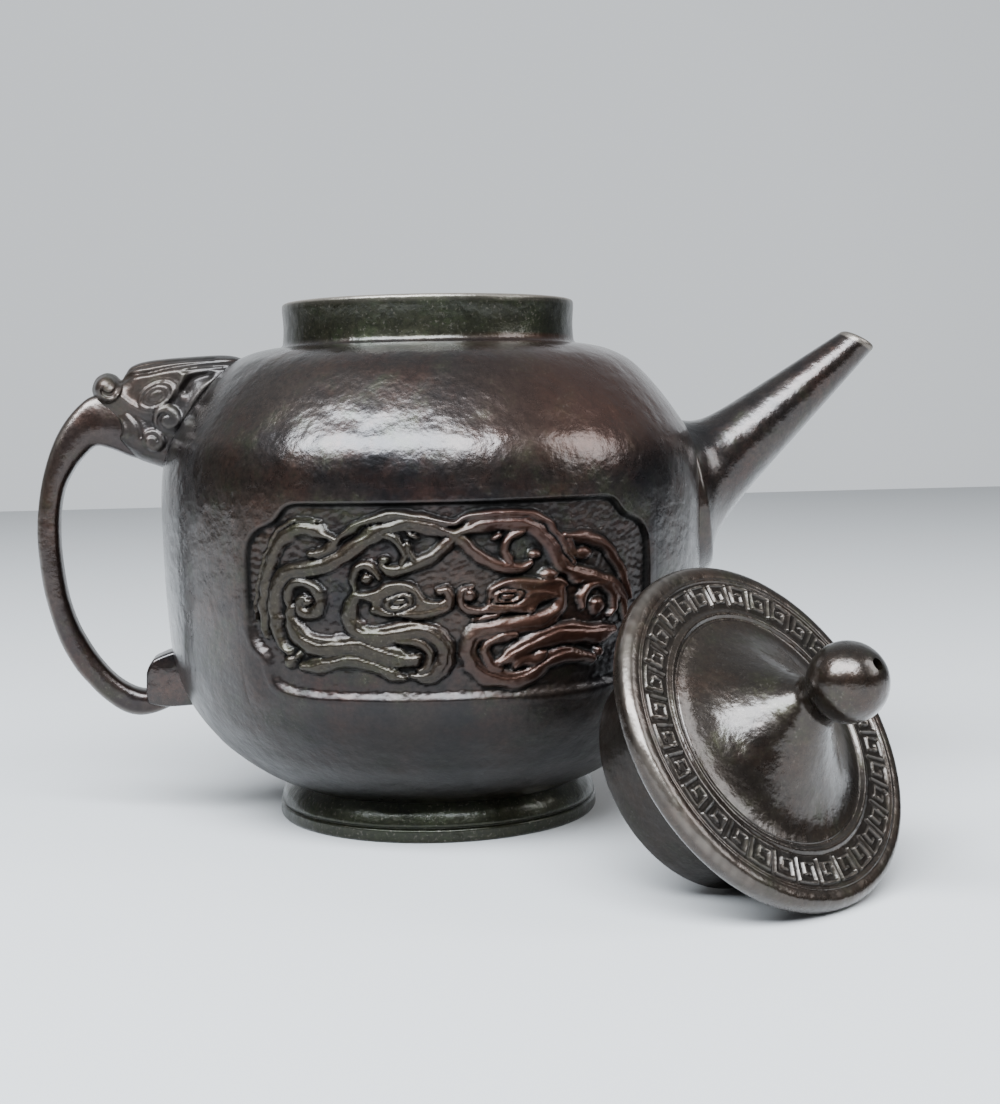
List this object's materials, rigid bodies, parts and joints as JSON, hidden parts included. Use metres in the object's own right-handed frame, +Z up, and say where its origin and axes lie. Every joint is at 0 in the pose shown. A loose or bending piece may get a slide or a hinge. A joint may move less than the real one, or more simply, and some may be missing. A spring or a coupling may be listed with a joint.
{
  "type": "ewer",
  "caption": "Cast bronze ewer with a straight spout, a beast-head strap handle and sunk dragon panels, its knobbed lid lying beside it",
  "frame": {"origin": "under the middle of the bounding box of ewer and lid, at the level of the table", "axes": "+X towards the spout, -Y towards the front panel, +Z up along the neck"},
  "size_m": [0.2164, 0.1912, 0.13],
  "materials": {
    "bronze": "satin"
  },
  "bodies": {
    "root": {"ewer": "bronze", "lid": "bronze"}
  },
  "joints": []
}
